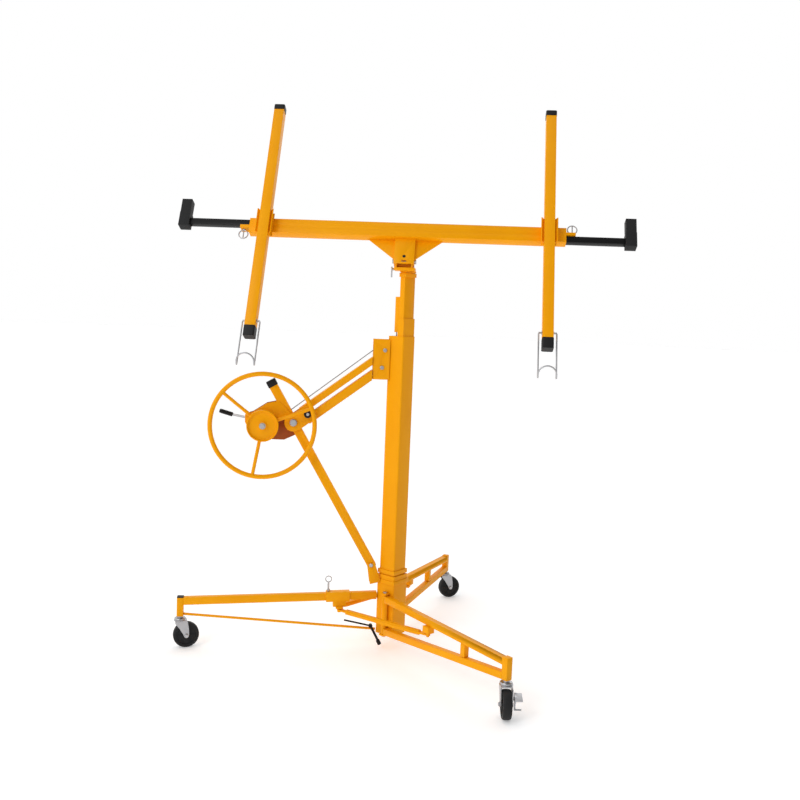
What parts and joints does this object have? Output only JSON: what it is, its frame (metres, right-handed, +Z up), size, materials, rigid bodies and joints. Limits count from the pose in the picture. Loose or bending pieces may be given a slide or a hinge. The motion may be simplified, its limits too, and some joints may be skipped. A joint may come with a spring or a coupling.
{
  "type": "drywall lift",
  "caption": "Rolling drywall lift with a tripod base, telescoping mast, hand-wheel winch and a tilting cradle with hooks and outriggers.",
  "frame": {"origin": "on the floor below the centre of the part's plan", "axes": "+Z up, +X from the winch and the rear leg towards the front of the base, -Y towards the side the cradle tips to"},
  "size_m": [1.7618, 1.4106, 2.1893],
  "materials": {
    "yellow_paint": "powder coat",
    "black_paint": "powder coat",
    "dark_paint": "painted, darker orange",
    "zinc": "zinc plated",
    "cable_steel": "stranded",
    "black_plastic": "matte",
    "nylon": "matte",
    "rubber": "matte"
  },
  "bodies": {
    "base": {"mast_socket": "yellow_paint", "leg_hinge_lugs": "yellow_paint", "outer_mast": "yellow_paint", "rear_leg": "yellow_paint", "winch_strut": "yellow_paint", "winch_arm": "yellow_paint", "strut_bracket": "yellow_paint", "winch_frame": "yellow_paint", "winch_backplate": "dark_paint", "pulley_box": "yellow_paint", "frame_bolts": "zinc", "base_caps": "black_plastic", "winch_cable": "cable_steel", "mast_cable": "cable_steel"},
    "handwheel": {"handwheel": "yellow_paint", "brake_disc": "yellow_paint", "winch_drum": "zinc", "drum_cable": "cable_steel"},
    "brake_lever": {"brake_lever": "zinc", "brake_grip": "black_plastic"},
    "release_knob": {"release_knob": "black_plastic"},
    "box_sheave": {"box_sheave": "nylon"},
    "second_mast": {"second_mast": "yellow_paint", "second_mast_fittings": "yellow_paint", "second_mast_cable": "cable_steel", "third_mast_cable": "cable_steel"},
    "foot_sheave": {"foot_sheave": "nylon"},
    "top_sheave": {"top_sheave": "nylon"},
    "third_mast": {"third_mast": "yellow_paint"},
    "head": {"head_bracket": "yellow_paint", "tilt_bolt": "zinc"},
    "tilt_latch": {"tilt_latch": "zinc"},
    "cradle": {"cradle_yoke": "yellow_paint", "crossbar": "yellow_paint"},
    "fold_collar": {"fold_collar": "yellow_paint"},
    "collar_pin": {"collar_pin": "zinc"},
    "foot_latch": {"foot_latch": "black_paint"},
    "caster_brake": {"caster_brake": "zinc"},
    "crossarm_left": {"crossarm_left": "yellow_paint", "crossarm_caps_left": "black_plastic"},
    "panel_hook_left": {"panel_hook_left": "zinc"},
    "outrigger_left": {"outrigger_bar_left": "black_paint", "outrigger_end_left": "rubber"},
    "ring_screw_left": {"ring_screw_left": "zinc"},
    "crossarm_right": {"crossarm_right": "yellow_paint", "crossarm_caps_right": "black_plastic"},
    "panel_hook_right": {"panel_hook_right": "zinc"},
    "outrigger_right": {"outrigger_bar_right": "black_paint", "outrigger_end_right": "rubber"},
    "ring_screw_right": {"ring_screw_right": "zinc"},
    "leg_front": {"leg_front": "yellow_paint"},
    "fold_link_front": {"fold_link_front": "yellow_paint"},
    "leg_back": {"leg_back": "yellow_paint"},
    "fold_link_back": {"fold_link_back": "yellow_paint"},
    "caster_fork_rear": {"caster_fork_rear": "zinc"},
    "caster_wheel_rear": {"caster_wheel_rear": "rubber"},
    "caster_fork_front": {"caster_fork_front": "zinc"},
    "caster_wheel_front": {"caster_wheel_front": "rubber"},
    "caster_fork_back": {"caster_fork_back": "zinc"},
    "caster_wheel_back": {"caster_wheel_back": "rubber"}
  },
  "joints": [
    {"name": "mast_lift", "type": "slide", "parent": "base", "child": "second_mast", "axis": [0, 0, 1], "range_m": [0, 0.86], "deforming": ["mast_cable"]},
    {"name": "third_lift", "type": "slide", "parent": "second_mast", "child": "third_mast", "axis": [0, 0, 1], "range_m": [0, 0.86], "deforming": ["third_mast_cable"]},
    {"name": "handwheel_spin", "type": "hinge", "parent": "base", "child": "handwheel", "pos_m": [-0.536, 0.014, 0.906], "axis": [0, 1, 0], "range_deg": [0, 4929]},
    {"name": "box_sheave_spin", "type": "hinge", "parent": "base", "child": "box_sheave", "pos_m": [-0.066, 0.014, 1.212], "axis": [0, -1, 0], "range_deg": [0, 3651]},
    {"name": "foot_sheave_spin", "type": "hinge", "parent": "second_mast", "child": "foot_sheave", "pos_m": [-0.02925, 0.02375, 0.108], "axis": [-0.7071, 0.7071, 0], "range_deg": [0, 3575]},
    {"name": "top_sheave_spin", "type": "hinge", "parent": "second_mast", "child": "top_sheave", "pos_m": [-0.00444, 0.01844, 1.4], "axis": [-0.7071, -0.7071, 0], "range_deg": [0, 2315]},
    {"name": "head_swivel", "type": "hinge", "parent": "third_mast", "child": "head", "pos_m": [0.01344, 0.00056, 1.53], "axis": [0, 0, 1], "range_deg": [-90, 90]},
    {"name": "cradle_tilt", "type": "hinge", "parent": "head", "child": "cradle", "pos_m": [-0.00864, -0.04258, 1.56], "axis": [-0.9816, 0.1908, 0], "range_deg": [0, 70]},
    {"name": "tilt_latch_turn", "type": "hinge", "parent": "head", "child": "tilt_latch", "pos_m": [-0.05199, -0.00359, 1.531], "axis": [0.9816, -0.1908, 0], "range_deg": [-5, 25]},
    {"name": "wheel_brake", "type": "hinge", "parent": "base", "child": "brake_lever", "pos_m": [-0.592, 0.014, 0.928], "axis": [0, 1, 0], "range_deg": [0, 14], "stiffness_Nm_per_rad": 2, "springref_deg": -17.19},
    {"name": "knob_pull", "type": "slide", "parent": "base", "child": "release_knob", "axis": [0, -1, 0], "range_m": [0, 0.006], "stiffness_N_per_m": 400, "springref_m": -0.004},
    {"name": "crossarm_left_swivel", "type": "hinge", "parent": "cradle", "child": "crossarm_left", "pos_m": [-0.54606, 0.06985, 1.68324], "axis": [-0.1729, -0.8897, 0.4226], "range_deg": [-45, 45]},
    {"name": "panel_hook_left_fold", "type": "hinge", "parent": "crossarm_left", "child": "panel_hook_left", "pos_m": [-0.58445, -0.12767, 1.30924], "axis": [-0.9816, 0.1908, 0], "range_deg": [-60, 100]},
    {"name": "outrigger_left_slide", "type": "slide", "parent": "cradle", "child": "outrigger_left", "axis": [-0.9816, 0.1908, 0], "range_m": [-0.12, 0.3]},
    {"name": "ring_screw_left_turn", "type": "hinge", "parent": "cradle", "child": "ring_screw_left", "pos_m": [-0.63193, 0.105, 1.67479], "axis": [0.0806, 0.4149, 0.9063], "range_deg": [-720, 720]},
    {"name": "crossarm_right_swivel", "type": "hinge", "parent": "cradle", "child": "crossarm_right", "pos_m": [0.53177, -0.13966, 1.68324], "axis": [-0.1729, -0.8897, 0.4226], "range_deg": [-45, 45]},
    {"name": "panel_hook_right_fold", "type": "hinge", "parent": "crossarm_right", "child": "panel_hook_right", "pos_m": [0.49337, -0.33718, 1.30924], "axis": [-0.9816, 0.1908, 0], "range_deg": [-60, 100]},
    {"name": "outrigger_right_slide", "type": "slide", "parent": "cradle", "child": "outrigger_right", "axis": [0.9816, -0.1908, 0], "range_m": [-0.12, 0.3]},
    {"name": "ring_screw_right_turn", "type": "hinge", "parent": "cradle", "child": "ring_screw_right", "pos_m": [0.62455, -0.13923, 1.67479], "axis": [0.0806, 0.4149, 0.9063], "range_deg": [-720, 720]},
    {"name": "leg_front_fold", "type": "hinge", "parent": "base", "child": "leg_front", "pos_m": [-0.032, -0.036, 0.15], "axis": [0, 0, -1], "range_deg": [0, 115]},
    {"name": "leg_back_fold", "type": "hinge", "parent": "base", "child": "leg_back", "pos_m": [-0.032, 0.064, 0.15], "axis": [0, 0, 1], "range_deg": [0, 115]},
    {"name": "collar_slide", "type": "slide", "parent": "base", "child": "fold_collar", "axis": [-0.9994, 0, -0.0351], "range_m": [0, 0.5354]},
    {"name": "fold_link_front_turn", "type": "hinge", "parent": "fold_collar", "child": "fold_link_front", "pos_m": [-0.212, -0.009, 0.161], "axis": [0, 0, 1], "range_deg": [0, 37]},
    {"name": "fold_link_back_turn", "type": "hinge", "parent": "fold_collar", "child": "fold_link_back", "pos_m": [-0.212, 0.037, 0.161], "axis": [0, 0, -1], "range_deg": [0, 37]},
    {"name": "collar_pin_pull", "type": "slide", "parent": "fold_collar", "child": "collar_pin", "axis": [0, 0, 1], "range_m": [0, 0.012]},
    {"name": "caster_rear_swivel", "type": "hinge", "parent": "base", "child": "caster_fork_rear", "pos_m": [-0.843, 0.014, 0.12], "axis": [0, 0, 1], "continuous": true},
    {"name": "caster_rear_roll", "type": "hinge", "parent": "caster_fork_rear", "child": "caster_wheel_rear", "pos_m": [-0.81952, 0.01899, 0.051], "axis": [-0.2079, 0.9781, 0], "continuous": true},
    {"name": "caster_front_swivel", "type": "hinge", "parent": "leg_front", "child": "caster_fork_front", "pos_m": [0.33141, -0.63643, 0.12], "axis": [0, 0, 1], "continuous": true},
    {"name": "caster_front_roll", "type": "hinge", "parent": "caster_fork_front", "child": "caster_wheel_front", "pos_m": [0.3289, -0.6603, 0.051], "axis": [0.9945, -0.1045, 0], "continuous": true},
    {"name": "caster_back_swivel", "type": "hinge", "parent": "leg_back", "child": "caster_fork_back", "pos_m": [0.33141, 0.66443, 0.12], "axis": [0, 0, 1], "continuous": true},
    {"name": "caster_back_roll", "type": "hinge", "parent": "caster_fork_back", "child": "caster_wheel_back", "pos_m": [0.3547, 0.67024, 0.051], "axis": [-0.2419, 0.9703, 0], "continuous": true},
    {"name": "caster_brake_press", "type": "hinge", "parent": "caster_fork_front", "child": "caster_brake", "pos_m": [0.35513, -0.66909, 0.075], "axis": [0.9945, -0.1045, 0], "range_deg": [-8, 4]},
    {"name": "foot_latch_turn", "type": "hinge", "parent": "base", "child": "foot_latch", "pos_m": [-0.084, -0.012, 0.096], "axis": [0, 1, 0], "range_deg": [-15, 6]}
  ],
  "couplings": [
    {"joint": "third_lift", "follows": "mast_lift", "ratio": 1},
    {"joint": "handwheel_spin", "follows": "mast_lift", "rad_per_m": 100},
    {"joint": "box_sheave_spin", "follows": "mast_lift", "rad_per_m": 74.074},
    {"joint": "foot_sheave_spin", "follows": "mast_lift", "rad_per_m": 72.524},
    {"joint": "top_sheave_spin", "follows": "mast_lift", "rad_per_m": 46.948},
    {"joint": "leg_back_fold", "follows": "leg_front_fold", "ratio": 1},
    {"joint": "collar_slide", "follows": "leg_front_fold", "m_per_rad": 0.26575},
    {"joint": "fold_link_front_turn", "follows": "leg_front_fold", "ratio": 0.3051},
    {"joint": "fold_link_back_turn", "follows": "leg_front_fold", "ratio": 0.3051}
  ]
}
